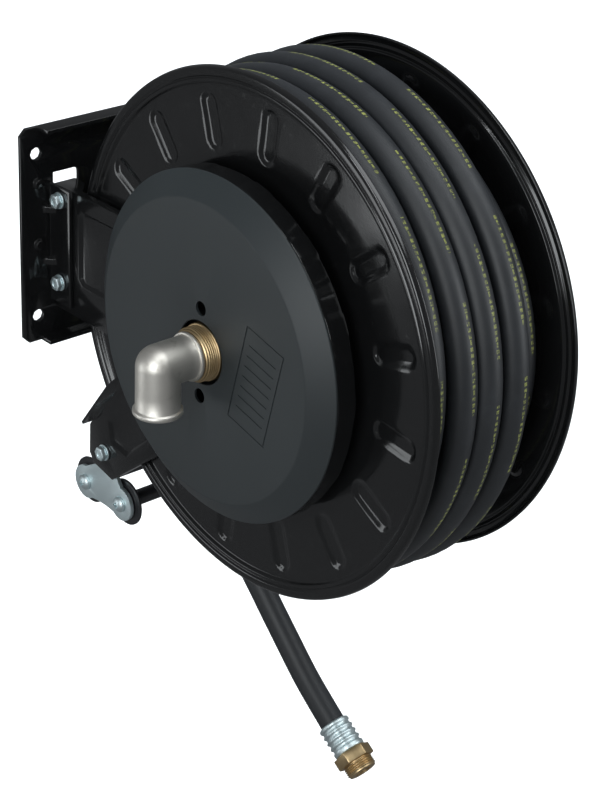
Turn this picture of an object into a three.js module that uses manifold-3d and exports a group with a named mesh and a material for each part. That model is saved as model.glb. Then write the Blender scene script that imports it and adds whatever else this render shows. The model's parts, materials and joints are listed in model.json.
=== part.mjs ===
// Wall-mounted spring-rewind hose reel: an open drum carried between two pressed side arms, with a swivel
// inlet elbow on the drum axis and a pair of guide rollers below. Millimetres, +Z up, +Y into the wall.
// The origin is the centre of the wall plate's back face. The drum axis runs along X.
import * as THREE from "three";
import Module from "manifold-3d";
import { mergeVertices } from "three/addons/utils/BufferGeometryUtils.js";

const wasm = await Module();
wasm.setup();

// Driving dimensions
const drumY = -284;              // drum axis in front of the wall
const drumZ = -14;
const gap = 0.3;                 // between touching pieces

const plateWidth = 272;
const plateHeight = 226;
const plateSheet = 4;
const lipDepth = 20;
const wallHole = { x: 118, z: 85.5, radius: 6.5 };
const earReach = 36;             // how far the lanced ears stand off the wall
const earOutside = 102.1;        // outer face of an ear, from the drum's middle plane

const flangeRadius = 250;
const flangeFace = 83.5;         // outer face of the flat part of a drum flange
const flangeSheet = 2;
const coreRadius = 170;
const hoseRadius = 13.5;
const windingRadius = 247;
const fullWindingEnd = 41;       // the outer layer stops here, short of the far flange

const webOutside = 97.8;         // outer face of the side arms and guide arms
const webSheet = 3;
const armHalfHeight = 65.5;
const armBoltY = 264;
const armBoltHeights = [53, -34];

const housingRadius = 165;
const housingDepth = 21.4;
const coverFace = 137;
const coverFlatRadius = 142.4;

const shaftRadius = 22;
const spigotRadius = 17;
const bearingRadius = 31;

const rollerHeight = -248.3;     // from the drum axis
const rollerSpots = [["rear", 234.9], ["front", 176.3]];
const rollerRadius = 8;
const rollerDiscRadius = 24.5;
const rollerPlateOutside = 94.4;
const rollerPlateSheet = 4;
const pinRadius = 4;

const elbowCentre = 184;         // inlet elbow's turn, from the middle plane
const elbowRadius = 20.6;
const elbowBore = 15;
const elbowDrop = 45;

const teeth = 12;
const ratchetRadius = 60;
const pawlPivot = new THREE.Vector2(38, 84);

// Hose tail: distance along X, then Y and Z from the drum axis
const tailRoute = [
  [58, 231.8, -27.6],
  [58, 225.2, -83],
  [58, 218.5, -140],
  [58, 205.5, -248],
  [59, 193, -302],
  [60, 166, -350],
  [61, 126, -393],
  [62, 93, -427],
  [62, 57.5, -460],
  [62, 15.8, -491.5],
];
const tailHeading = new THREE.Vector3(0, -0.833, -0.553).normalize();
const ferruleLength = 34.5;
const ferruleRadius = 17.2;
const fittingHexRadius = 21;
const fittingHexLength = 12;
const fittingThreadRadius = 16.5;
const fittingThreadLength = 12;

// Finishes
function finish(colour, roughness, metalness) {
  return new THREE.MeshStandardMaterial({ color: colour, roughness, metalness });
}
const glossBlack = finish(0x08090a, 0.22, 0.1);
const mattGrey = finish(0x2b3135, 0.6, 0.0);
const zinc = finish(0xb9c4c8, 0.35, 0.9);
const nickel = finish(0xb3ada0, 0.3, 1.0);
const brass = finish(0xa5814a, 0.3, 1.0);
const steel = finish(0x8b8f93, 0.4, 1.0);
const blackPlastic = finish(0x17181b, 0.5, 0.0);
const hoseRubber = finish(0x1d1f21, 0.65, 0.0);
const sealRubber = finish(0x0c0c0c, 0.8, 0.0);

// Geometry helpers
function weld(source) {
  const bare = source.clone();
  bare.deleteAttribute("normal");
  bare.deleteAttribute("uv");
  const merged = mergeVertices(bare, 1e-4);
  const index = Array.from(merged.index.array);
  const kept = [];
  for (let i = 0; i < index.length; i += 3) {
    const [a, b, c] = index.slice(i, i + 3);
    if (a !== b && b !== c && c !== a) kept.push(a, b, c);
  }
  merged.setIndex(kept);
  return volume(merged) < 0 ? flipped(merged) : merged;
}

function volume(geometry) {
  const at = geometry.attributes.position;
  const index = geometry.index.array;
  const [a, b, c] = [new THREE.Vector3(), new THREE.Vector3(), new THREE.Vector3()];
  let total = 0;
  for (let i = 0; i < index.length; i += 3) {
    a.fromBufferAttribute(at, index[i]);
    b.fromBufferAttribute(at, index[i + 1]);
    c.fromBufferAttribute(at, index[i + 2]);
    total += a.dot(b.cross(c)) / 6;
  }
  return total;
}

function flipped(geometry) {
  const index = Array.from(geometry.index.array);
  for (let i = 0; i < index.length; i += 3) {
    [index[i], index[i + 1]] = [index[i + 1], index[i]];
  }
  geometry.setIndex(index);
  return geometry;
}

function asSolid(geometry) {
  const clean = weld(geometry);
  const vertProperties = new Float32Array(clean.attributes.position.array);
  const triVerts = new Uint32Array(clean.index.array);
  return new wasm.Manifold(new wasm.Mesh({ numProp: 3, vertProperties, triVerts }));
}

function asGeometry(solid) {
  const data = solid.getMesh();
  const geometry = new THREE.BufferGeometry();
  geometry.setAttribute("position", new THREE.BufferAttribute(new Float32Array(data.vertProperties), 3));
  geometry.setIndex(Array.from(data.triVerts));
  return geometry;
}

function joined(...pieces) {
  return asGeometry(pieces.map(asSolid).reduce((sum, next) => sum.add(next)));
}

function cut(body, ...tools) {
  return asGeometry(tools.map(asSolid).reduce((rest, tool) => rest.subtract(tool), asSolid(body)));
}

// The same piece on the near side of the drum
function mirrored(geometry) {
  const copy = weld(geometry);
  copy.scale(-1, 1, 1);
  return flipped(copy);
}

// An outline in Y and Z, measured from the drum axis, thick from one X to another
function slab(shape, from, to, curveSegments = 12) {
  const geometry = new THREE.ExtrudeGeometry(shape, { depth: to - from, bevelEnabled: false, curveSegments });
  const turn = new THREE.Matrix4().makeBasis(
    new THREE.Vector3(0, 1, 0), new THREE.Vector3(0, 0, 1), new THREE.Vector3(1, 0, 0));
  return geometry.applyMatrix4(turn).translate(from, drumY, drumZ);
}

// A tapered pocket that is widest at the outer face and narrows to the outline at its floor
function pocket(shape, outside, depth, flare) {
  const settings = { depth: 10, bevelThickness: depth, bevelSize: flare, bevelSegments: 1, curveSegments: 4 };
  const geometry = new THREE.ExtrudeGeometry(shape, settings);
  const turn = new THREE.Matrix4().makeBasis(
    new THREE.Vector3(0, 1, 0), new THREE.Vector3(0, 0, 1), new THREE.Vector3(1, 0, 0));
  return geometry.applyMatrix4(turn).translate(outside, drumY, drumZ);
}

// A profile of [radius, x] points turned about the X axis through a given Y and Z
function turned(profile, segments, y = 0, z = 0) {
  const points = profile.map(([radius, x]) => new THREE.Vector2(radius, x));
  if (profile[0][0] > 0) points.push(points[0].clone());
  const geometry = new THREE.LatheGeometry(points, segments);
  geometry.rotateZ(-Math.PI / 2);
  return geometry.translate(0, drumY + y, drumZ + z);
}

function rodX(radius, from, to, y, z, sides = 16) {
  const geometry = new THREE.CylinderGeometry(radius, radius, to - from, sides);
  geometry.rotateZ(-Math.PI / 2);
  return geometry.translate((from + to) / 2, drumY + y, drumZ + z);
}

function box(x, y, z) {
  const geometry = new THREE.BoxGeometry(x[1] - x[0], y[1] - y[0], z[1] - z[0]);
  return geometry.translate((x[0] + x[1]) / 2, (y[0] + y[1]) / 2, (z[0] + z[1]) / 2);
}

function outline(points) {
  return new THREE.Shape(points.map(([y, z]) => new THREE.Vector2(y, z)));
}

// A point given along and across a line that runs out from the drum axis at an angle
function polarPoint(angle, along, across) {
  const heading = THREE.MathUtils.degToRad(angle);
  const y = along * Math.cos(heading) - across * Math.sin(heading);
  const z = along * Math.sin(heading) + across * Math.cos(heading);
  return [y, z];
}

const reel = new THREE.Group();
reel.name = "hose_reel";

function add(name, geometry, material) {
  const clean = weld(geometry);
  clean.computeVertexNormals();
  const mesh = new THREE.Mesh(clean, material);
  mesh.name = name;
  reel.add(mesh);
}

function addPair(name, geometry, material) {
  add(name + "_far", geometry, material);
  add(name + "_near", mirrored(geometry), material);
}

// Wall plate: one sheet with folded lips and two ears lanced out of it
function wallPlate() {
  const halfWidth = plateWidth / 2;
  const halfHeight = plateHeight / 2;
  const corner = 7;
  const sheet = new THREE.Shape();
  sheet.moveTo(-halfWidth + corner, -halfHeight);
  sheet.lineTo(halfWidth - corner, -halfHeight);
  sheet.lineTo(halfWidth, -halfHeight + corner);
  sheet.lineTo(halfWidth, halfHeight - corner);
  sheet.lineTo(halfWidth - corner, halfHeight);
  sheet.lineTo(-halfWidth + corner, halfHeight);
  sheet.lineTo(-halfWidth, halfHeight - corner);
  sheet.lineTo(-halfWidth, -halfHeight + corner);
  sheet.closePath();
  for (const x of [-wallHole.x, wallHole.x]) {
    for (const z of [-wallHole.z, wallHole.z]) {
      sheet.holes.push(new THREE.Path().absarc(x, z, wallHole.radius, 0, 2 * Math.PI, true));
    }
    sheet.holes.push(windowPath(Math.sign(x)));
  }
  const settings = { depth: plateSheet, bevelEnabled: false, curveSegments: 4 };
  const geometry = new THREE.ExtrudeGeometry(sheet, settings);
  geometry.rotateX(Math.PI / 2);
  const pieces = [geometry];
  for (const z of [-halfHeight, halfHeight - plateSheet]) {
    pieces.push(box([-115, 115], [-lipDepth, -1], [z, z + plateSheet]));
  }
  for (const side of [-1, 1]) {
    const faces = [side * (earOutside - plateSheet), side * earOutside].sort((a, b) => a - b);
    pieces.push(box(faces, [-earReach, -1], [-71, 52]));
    for (const z of [26, -29]) pieces.push(gusset(side, z));
    for (const z of [55, -9]) pieces.push(dimple(side * 116.5, z));
  }
  const reach = earOutside + 5;
  return cut(joined(...pieces), ...armBoltHeights.map((z) => rodX(4.3, -reach, reach, armBoltY, z, 12)));
}

function windowPath(side) {
  const path = new THREE.Path();
  const inner = side * 68;
  const outer = side * (earOutside - plateSheet);
  const round = 6 * side;
  path.moveTo(outer, -74);
  path.lineTo(inner + round, -74);
  path.quadraticCurveTo(inner, -74, inner, -68);
  path.lineTo(inner, 56);
  path.quadraticCurveTo(inner, 62, inner + round, 62);
  path.lineTo(outer, 62);
  path.closePath();
  return path;
}

// A pressed rib across the bend between an ear and the plate
function gusset(side, z) {
  const root = side * (earOutside - 1);
  const rib = new THREE.Shape();
  rib.moveTo(root, -3);
  rib.lineTo(side * (earOutside + 10), -3);
  rib.lineTo(root, -15);
  rib.closePath();
  const geometry = new THREE.ExtrudeGeometry(rib, { depth: 6, bevelEnabled: false });
  return geometry.translate(0, 0, z - 3);
}

function dimple(x, z) {
  return new THREE.CylinderGeometry(6, 4.5, 5, 10).translate(x, -plateSheet - 1.5, z);
}

// Side arm: a channel from the wall to the drum bearing with a pressed recess in its web
function sideArm() {
  const wallEnd = 279;
  const web = new THREE.Shape();
  web.moveTo(0, armHalfHeight);
  web.absarc(0, 0, armHalfHeight, Math.PI / 2, 1.5 * Math.PI, false);
  web.lineTo(wallEnd, -armHalfHeight);
  web.lineTo(wallEnd, armHalfHeight);
  web.closePath();
  const inside = webOutside - webSheet;
  const panel = outline([[84, -26], [232, -26], [236, -22], [236, 42], [232, 46], [84, 46]]);
  const backing = outline([[80, -30], [236, -30], [240, -26], [240, 46], [236, 50], [80, 50]]);
  const pieces = [slab(web, inside, webOutside, 10), slab(backing, inside - 3.4, inside + 0.5)];
  for (const z of [-armHalfHeight, armHalfHeight - webSheet]) pieces.push(armFlange(wallEnd, z));
  const holes = armBoltHeights.map((z) => rodX(4.3, inside - 5, webOutside + 5, armBoltY, z, 12));
  return cut(
    joined(...pieces),
    pocket(panel, webOutside, 3.5, 3.5),
    rodX(bearingRadius + gap, inside - 5, webOutside + 5, 0, 0, 24),
    ...holes);
}

// The fold along an arm's edge is deep beside the wall and shallow where the drum passes it
function armFlange(wallEnd, z) {
  const fold = new THREE.Shape();
  fold.moveTo(webOutside, drumY);
  fold.lineTo(webOutside, drumY + wallEnd);
  fold.lineTo(73, drumY + wallEnd);
  fold.lineTo(73, drumY + 262);
  fold.lineTo(89, drumY + 244);
  fold.lineTo(89, drumY);
  fold.closePath();
  const geometry = new THREE.ExtrudeGeometry(fold, { depth: webSheet, bevelEnabled: false });
  return geometry.translate(0, 0, drumZ + z);
}

// Guide arm: runs out from the drum axis, down and towards the wall, and carries the roller plate
const guideAngle = -45;
const guideBoltAlong = 279;

function guidePoints(pairs) {
  return pairs.map(([along, across]) => polarPoint(guideAngle, along, across));
}

function guideArm() {
  const inside = webOutside - webSheet;
  const web = outline(guidePoints([
    [140, -38], [192, -38], [288.7, -27.2], [306, 0], [304, 11], [281, 33], [200, 45], [140, 46],
  ]));
  const recess = outline(guidePoints([[150, -17], [245, -15], [258, 3], [247, 19], [200, 21], [150, 22]]));
  const backing = outline(guidePoints([[146, -21], [247, -19], [262, 3], [249, 23], [200, 25], [146, 26]]));
  const upperFold = outline(guidePoints([[170, 45], [200, 45], [268, 35], [268, 32], [200, 42], [170, 42]]));
  const lowerPoints = [[178, -38], [192, -38], [278, -28.4], [278, -25.4], [192, -35], [178, -35]];
  const lowerFold = outline(guidePoints(lowerPoints));
  const [boltY, boltZ] = polarPoint(guideAngle, guideBoltAlong, 0);
  return cut(
    joined(
      slab(web, inside, webOutside),
      slab(backing, inside - 3.4, inside + 0.5),
      slab(upperFold, inside, webOutside + 16),
      slab(lowerFold, 89, webOutside)),
    pocket(recess, webOutside, 3.5, 3.5),
    rodX(4.3, inside - 5, webOutside + 5, boltY, boltZ, 12));
}

// Roller plate: a waisted plate across both rollers with a tongue up behind the guide arm
function rollerPlate() {
  const [rear, front] = rollerSpots.map(([, y]) => y);
  const lobe = 18;
  const plate = new THREE.Shape();
  plate.moveTo(front, rollerHeight + lobe);
  plate.absarc(front, rollerHeight, lobe, Math.PI / 2, 1.72 * Math.PI, false);
  plate.quadraticCurveTo((front + rear) / 2, rollerHeight - 11, rear - 11.5, rollerHeight - 13.9);
  plate.absarc(rear, rollerHeight, lobe, 1.28 * Math.PI, 2.5 * Math.PI, false);
  plate.lineTo(214, rollerHeight + 30);
  plate.lineTo(212, -190);
  plate.lineTo(187, -190);
  plate.lineTo(184, rollerHeight + 30);
  plate.closePath();
  const inside = rollerPlateOutside - rollerPlateSheet;
  const [boltY, boltZ] = polarPoint(guideAngle, guideBoltAlong, 0);
  const beyond = rollerPlateOutside + 2;
  const holes = rollerSpots.map(([, y]) => rodX(3.3, inside - 2, beyond, y, rollerHeight, 12));
  return cut(
    slab(plate, inside, rollerPlateOutside, 6),
    rodX(4.3, inside - 2, rollerPlateOutside + 2, boltY, boltZ, 12),
    ...holes);
}

function rollers() {
  const discOutside = rollerPlateOutside - rollerPlateSheet - 2;
  const discInside = discOutside - 4;
  const bore = pinRadius + gap;
  for (const [place, y] of rollerSpots) {
    const profile = [
      [bore, -discOutside], [rollerDiscRadius, -discOutside], [rollerDiscRadius, -discInside],
      [rollerRadius, -discInside], [rollerRadius, discInside], [rollerDiscRadius, discInside],
      [rollerDiscRadius, discOutside], [bore, discOutside],
    ];
    add("roller_" + place, turned(profile, 16, y, rollerHeight), blackPlastic);
    const pinEnd = rollerPlateOutside - rollerPlateSheet - gap;
    add("roller_pin_" + place, rodX(pinRadius, -pinEnd, pinEnd, y, rollerHeight, 12), steel);
    addPair("roller_screw_" + place, rollerScrew(y), zinc);
  }
}

function rollerScrew(y) {
  const seat = rollerPlateOutside + gap;
  const inside = rollerPlateOutside - rollerPlateSheet + gap;
  const head = [[8.2, seat], [8.2, seat + 2], [5.5, seat + 5], [0, seat + 5.6]];
  const profile = [[0, inside], [3, inside], [3, seat], ...head];
  return turned(profile, 12, y, rollerHeight);
}

// Hex bolt with a washer under its head and a nut behind
function boltSet(name, y, z, seat, grip) {
  const washerTop = seat + gap + 1.6;
  const headFoot = washerTop + gap;
  const head = rodX(7.5, headFoot, headFoot + 5.3, y, z, 6);
  const shank = rodX(3.9, seat - grip - 9, headFoot + 1, y, z, 12);
  addPair(name + "_bolt", joined(head, shank), zinc);
  const washer = [[4.2, seat + gap], [8.4, seat + gap], [8.4, washerTop], [4.2, washerTop]];
  addPair(name + "_washer", turned(washer, 12, y, z), zinc);
  const nutSeat = seat - grip - gap;
  const nut = cut(rodX(7.5, nutSeat - 6.5, nutSeat, y, z, 6), rodX(4.2, nutSeat - 8, nutSeat + 2, y, z, 12));
  addPair(name + "_nut", nut, zinc);
}

// Round housings on the side arms, each closed by a shallow conical cover
function housing() {
  const back = webOutside + gap;
  const rim = back + housingDepth;
  const hole = bearingRadius + gap;
  return turned([
    [hole, back], [housingRadius, back], [housingRadius, rim], [housingRadius - 2, rim],
    [housingRadius - 2, back + 2], [hole, back + 2],
  ], 36);
}

function cover(centre) {
  const edge = webOutside + gap + housingDepth + gap;
  const skirt = housingRadius - 2 - gap;
  const profile = [
    [centre, coverFace], [coverFlatRadius, coverFace], [housingRadius, edge], [skirt, edge],
    [skirt, edge - 8], [skirt - 2.2, edge - 8], [skirt - 2.2, edge - 0.5],
    [coverFlatRadius - 1.2, coverFace - 2.5], [centre, coverFace - 2.5],
  ];
  return turned(profile, 36);
}

function nearCover() {
  const holes = [-43, 43].map((z) => rodX(7, coverFace - 10, coverFace + 10, 0, z, 12));
  return mirrored(cut(cover(30.2), ...holes));
}

function bearing() {
  const inside = webOutside - webSheet - gap;
  const bore = shaftRadius + gap;
  return turned([
    [bore, 88], [40, 88], [40, inside], [bearingRadius, inside], [bearingRadius, 104], [bore, 104],
  ], 20);
}

// Drum: flanges, core, hubs and the hollow shaft with its feed to the hose
const rimOutside = 87.4;

function drumFlange() {
  const inner = flangeFace - flangeSheet;
  const profile = [
    [24, inner], [24, flangeFace], [231, flangeFace], [236, 86.4], [243, rimOutside],
    [flangeRadius, 84.8], [248.5, 81.6], [246, 84.2], [237, 84], [232.5, inner],
  ];
  return turned(profile, 44);
}

function drumHub() {
  const face = flangeFace - flangeSheet - gap;
  const bore = shaftRadius + gap;
  return turned([[bore, face - 6], [64, face - 6], [64, face], [bore, face]], 20);
}

const feedX = -64;             // the hose starts beside the near flange
const feedRadius = 9.5;
const feedEnd = 150;

function feedRod(radius, from, to, sides) {
  const geometry = new THREE.CylinderGeometry(radius, radius, to - from, sides);
  geometry.rotateX(Math.PI / 2);
  return geometry.translate(feedX, drumY, drumZ + (from + to) / 2);
}

function drumCore() {
  const reach = flangeFace - flangeSheet - gap;
  const inner = coreRadius - 2;
  const profile = [[inner, -reach], [coreRadius, -reach], [coreRadius, reach], [inner, reach]];
  return cut(turned(profile, 32), feedRod(14, coreRadius - 12, coreRadius + 8, 16));
}

function shaft() {
  const bore = 13;
  const body = turned([
    [0, 129], [shaftRadius, 129], [shaftRadius, -118], [spigotRadius, -118], [spigotRadius, -138],
    [bore, -138], [bore, feedX + 14], [0, feedX + 14],
  ], 20);
  return cut(body, feedRod(6.5, 5, shaftRadius + 6, 12));
}

function feedPipe() {
  return cut(feedRod(feedRadius, shaftRadius + gap, feedEnd, 16), feedRod(6.5, 10, feedEnd + 10, 16));
}

function hoseAdapter() {
  const hex = feedRod(15.5, feedEnd + gap, feedEnd + 12, 6);
  const tail = feedRod(9, feedEnd + 10, coreRadius - 2, 16);
  return cut(joined(hex, tail), feedRod(6.5, feedEnd - 5, coreRadius + 10, 16));
}

function winding() {
  const foot = coreRadius + gap;
  const reach = flangeFace - flangeSheet - gap;
  return turned([
    [foot, -reach], [windingRadius, -reach], [windingRadius, fullWindingEnd],
    [198, fullWindingEnd + 3], [198, reach], [foot, reach],
  ], 32);
}

// Rewind spring and its arbor, in the far housing
function springArbor() {
  const bore = shaftRadius + gap;
  return turned([[bore, 104.4], [44, 104.4], [44, 128], [bore, 128]], 20);
}

function clockSpring() {
  const turns = 4;
  const stepsPerTurn = 16;
  const inner = 46;
  const outer = 146;
  const thickness = 2.4;
  const steps = turns * stepsPerTurn;
  const edge = (offset) => Array.from({ length: steps + 1 }, (_, i) => {
    const angle = (i / stepsPerTurn) * 2 * Math.PI;
    const radius = inner + ((outer - inner) * i) / steps + offset;
    return [radius * Math.cos(angle), radius * Math.sin(angle)];
  });
  return slab(outline([...edge(thickness), ...edge(0).reverse()]), 105, 127);
}

// Ratchet in the near housing: toothed wheel on the shaft, pawl on a pin
function ratchetWheel() {
  const points = [];
  for (let i = 0; i < teeth; i += 1) {
    const start = (i * 360) / teeth;
    points.push(polarPoint(start + 4, ratchetRadius, 0));
    points.push(polarPoint(start + 9, ratchetRadius - 10, 0));
    points.push(polarPoint(start + 18, ratchetRadius - 8, 0));
    points.push(polarPoint(start + 28, ratchetRadius, 0));
  }
  const bore = rodX(shaftRadius + gap, 100, 120, 0, 0, 24);
  return mirrored(cut(slab(outline(points), 106, 111.5), bore));
}

function pawl() {
  const { x, y } = pawlPivot;
  const arm = new THREE.Shape();
  arm.moveTo(x + 9, y);
  arm.absarc(x, y, 9, 0, 0.75 * Math.PI, false);
  arm.lineTo(13.4, 63);
  arm.lineTo(17.5, 61.6);
  arm.lineTo(x + 4, y - 8.1);
  arm.closePath();
  return mirrored(cut(slab(arm, 106, 111.5, 8), rodX(5.3, 100, 120, x, y, 16)));
}

function pawlPin() {
  const { x, y } = pawlPivot;
  const foot = webOutside + 2 * gap + 2;
  return mirrored(turned([[0, foot], [9, foot], [9, 105.6], [5, 105.6], [5, 119], [0, 119]], 16, x, y));
}

function pawlSpring() {
  const { x, y } = pawlPivot;
  return mirrored(turned([[5.4, 112.4], [7.6, 112.4], [7.6, 118], [5.4, 118]], 16, x, y));
}

// Inlet: brass swivel on the shaft's spigot, with a seal ring and a banded elbow turned down
function swivelBody() {
  const seat = 118.4;
  const collar = elbowStart - gap;
  return mirrored(turned([
    [19.6, seat], [27, seat], [27, coverFace - 1], [25.4, coverFace - 0.6], [25.4, collar], [16.8, collar],
    [16.8, collar + 11], [12, collar + 11], [12, 138.6], [19.6, 138.6],
  ], 20));
}

function sealRing() {
  return mirrored(turned([[17.3, 122], [19.3, 122], [19.3, 134], [17.3, 134]], 20));
}

const elbowStart = 148.8;

function elbow() {
  const outside = elbowLegs(elbowRadius, elbowStart, elbowDrop, 16);
  const bore = elbowLegs(elbowBore, elbowStart - 4, elbowDrop + 4, 12);
  const upperBand = rodX(23, elbowStart, elbowStart + 4, 0, 0, 16).translate(0, -drumY, -drumZ);
  const lowerBand = new THREE.CylinderGeometry(23, 23, 5, 16).rotateX(Math.PI / 2);
  lowerBand.translate(elbowCentre, 0, -elbowDrop + 2.5);
  const socket = rodX(17.1, elbowStart - 2, elbowStart + 12, 0, 0, 20).translate(0, -drumY, -drumZ);
  const made = cut(joined(...outside, upperBand, lowerBand), ...bore, socket);
  return mirrored(made.translate(0, drumY, drumZ));
}

// A level leg and a dropping leg that meet in a ball at the turn
function elbowLegs(radius, from, drop, sides) {
  const level = rodX(radius, from, elbowCentre, 0, 0, sides).translate(0, -drumY, -drumZ);
  const dropping = new THREE.CylinderGeometry(radius, radius, drop, sides).rotateX(Math.PI / 2);
  dropping.translate(elbowCentre, 0, -drop / 2);
  const ball = new THREE.SphereGeometry(radius, sides, sides / 2).translate(elbowCentre, 0, 0);
  return [level, dropping, ball];
}

// A round bar swept along a smooth route
function sweep(points, radius, sides, steps) {
  const curve = new THREE.CatmullRomCurve3(points, false, "centripetal");
  const round = new THREE.Shape();
  for (let i = 0; i < sides; i += 1) {
    const angle = (i / sides) * 2 * Math.PI;
    const corner = [radius * Math.cos(angle), radius * Math.sin(angle)];
    if (i === 0) round.moveTo(...corner);
    else round.lineTo(...corner);
  }
  round.closePath();
  return new THREE.ExtrudeGeometry(round, { steps, extrudePath: curve, bevelEnabled: false });
}

// Hose tail with its crimped ferrule and threaded outlet
function onReel(points) {
  return points.map(([x, y, z]) => new THREE.Vector3(x, drumY + y, drumZ + z));
}

function hoseTail() {
  return sweep(onReel(tailRoute), hoseRadius, 10, 16);
}

// A turned piece that starts a given distance past the hose's end, along the hose
function pastTail(profile, segments) {
  const points = profile.map(([radius, along]) => new THREE.Vector2(radius, along));
  if (profile[0][0] > 0) points.push(points[0].clone());
  const geometry = new THREE.LatheGeometry(points, segments);
  const turn = new THREE.Quaternion().setFromUnitVectors(new THREE.Vector3(0, 1, 0), tailHeading);
  geometry.applyQuaternion(turn);
  const [end] = onReel([tailRoute[tailRoute.length - 1]]);
  return geometry.translate(end.x, end.y, end.z);
}

function ferrule() {
  const start = 0.8;
  return pastTail([
    [9, start], [ferruleRadius, start], [ferruleRadius, start + ferruleLength], [9, start + ferruleLength],
  ], 20);
}

function outletFitting() {
  const start = 0.8 + ferruleLength + gap;
  const hexEnd = start + fittingHexLength;
  const bore = pastTail([[0, start - 3], [8.7, start - 3], [8.7, hexEnd + 30], [0, hexEnd + 30]], 16);
  const hex = pastTail([[0, start], [fittingHexRadius, start], [fittingHexRadius, hexEnd], [0, hexEnd]], 6);
  const threadEnd = hexEnd + fittingThreadLength;
  const radius = fittingThreadRadius;
  const thread = pastTail([[0, hexEnd - 1], [radius, hexEnd - 1], [radius, threadEnd], [0, threadEnd]], 24);
  return cut(joined(hex, thread), bore);
}

add("wall_plate", wallPlate(), glossBlack);
addPair("side_arm", sideArm(), glossBlack);
addPair("guide_arm", guideArm(), glossBlack);
addPair("roller_plate", rollerPlate(), zinc);
rollers();
for (const [i, z] of armBoltHeights.entries()) {
  boltSet("arm_" + ["upper", "lower"][i], armBoltY, z, earOutside, plateSheet + gap + webSheet);
}
boltSet("guide", ...polarPoint(guideAngle, guideBoltAlong, 0), webOutside, webSheet + gap + rollerPlateSheet);
addPair("housing", housing(), glossBlack);
add("cover_near", nearCover(), mattGrey);
add("cover_far", cover(0), mattGrey);
addPair("bearing", bearing(), brass);
addPair("drum_flange", drumFlange(), glossBlack);
addPair("drum_hub", drumHub(), glossBlack);
add("drum_core", drumCore(), glossBlack);
add("shaft", shaft(), steel);
add("feed_pipe", feedPipe(), steel);
add("hose_adapter", hoseAdapter(), brass);
add("hose_winding", winding(), hoseRubber);
add("spring_arbor", springArbor(), steel);
add("rewind_spring", clockSpring(), steel);
add("ratchet_wheel", ratchetWheel(), steel);
add("pawl", pawl(), steel);
add("pawl_pin", pawlPin(), steel);
add("pawl_spring", pawlSpring(), steel);
add("swivel_body", swivelBody(), brass);
add("seal_ring", sealRing(), sealRubber);
add("inlet_elbow", elbow(), nickel);
add("hose_tail", hoseTail(), hoseRubber);
add("ferrule", ferrule(), zinc);
add("outlet_fitting", outletFitting(), brass);

export default reel;
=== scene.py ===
import bpy, bmesh, json, math
from mathutils import Matrix, Vector


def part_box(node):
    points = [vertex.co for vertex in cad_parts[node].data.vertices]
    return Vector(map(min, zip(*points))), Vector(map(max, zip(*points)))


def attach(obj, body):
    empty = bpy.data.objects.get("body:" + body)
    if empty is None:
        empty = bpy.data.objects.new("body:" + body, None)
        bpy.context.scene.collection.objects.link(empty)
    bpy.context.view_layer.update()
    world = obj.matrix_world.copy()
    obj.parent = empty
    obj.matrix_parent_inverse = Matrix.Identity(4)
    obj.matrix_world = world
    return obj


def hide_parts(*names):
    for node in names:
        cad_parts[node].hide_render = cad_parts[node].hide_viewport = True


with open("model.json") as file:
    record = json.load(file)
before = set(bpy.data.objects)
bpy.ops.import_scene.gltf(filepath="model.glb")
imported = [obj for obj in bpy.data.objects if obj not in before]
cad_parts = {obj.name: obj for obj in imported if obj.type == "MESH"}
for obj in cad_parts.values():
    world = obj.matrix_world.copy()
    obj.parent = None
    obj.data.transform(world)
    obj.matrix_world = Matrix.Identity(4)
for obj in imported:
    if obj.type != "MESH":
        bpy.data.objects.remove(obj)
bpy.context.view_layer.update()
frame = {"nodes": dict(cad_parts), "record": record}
jointSpot = {joint["name"]: Vector(joint["pos_m"]) for joint in frame["record"]["behaviour"]["joints"]}
drumAxis = jointSpot["drum_spin"]
millimetre = 0.001
print("frame loaded, drum axis at", tuple(drumAxis))


# ---- camera, lights and floor ----
viewer = {
    "azimuth": -41.41, "elevation": 24.76, "roll": 1.99,        # degrees
    "distance": 2.0196, "target": (-0.0372, -0.284, -0.014),
    "lens": 98.97, "shift": (0.0186, -0.0944),
}


def addCamera():
    azimuth, elevation, roll = (math.radians(viewer[k]) for k in ("azimuth", "elevation", "roll"))
    back = Vector((math.sin(azimuth) * math.cos(elevation), -math.cos(azimuth) * math.cos(elevation),
                   math.sin(elevation)))
    level = Vector((math.cos(azimuth), math.sin(azimuth), 0))
    upright = back.cross(level)
    right = math.cos(roll) * level + math.sin(roll) * upright
    up = math.cos(roll) * upright - math.sin(roll) * level
    data = bpy.data.cameras.new("camera")
    data.lens = viewer["lens"]
    data.shift_x, data.shift_y = viewer["shift"]
    camera = bpy.data.objects.new("camera", data)
    bpy.context.scene.collection.objects.link(camera)
    turn = Matrix((right, up, back)).transposed().to_4x4()
    camera.matrix_world = Matrix.Translation(Vector(viewer["target"]) + viewer["distance"] * back) @ turn
    bpy.context.scene.camera = camera


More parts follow.
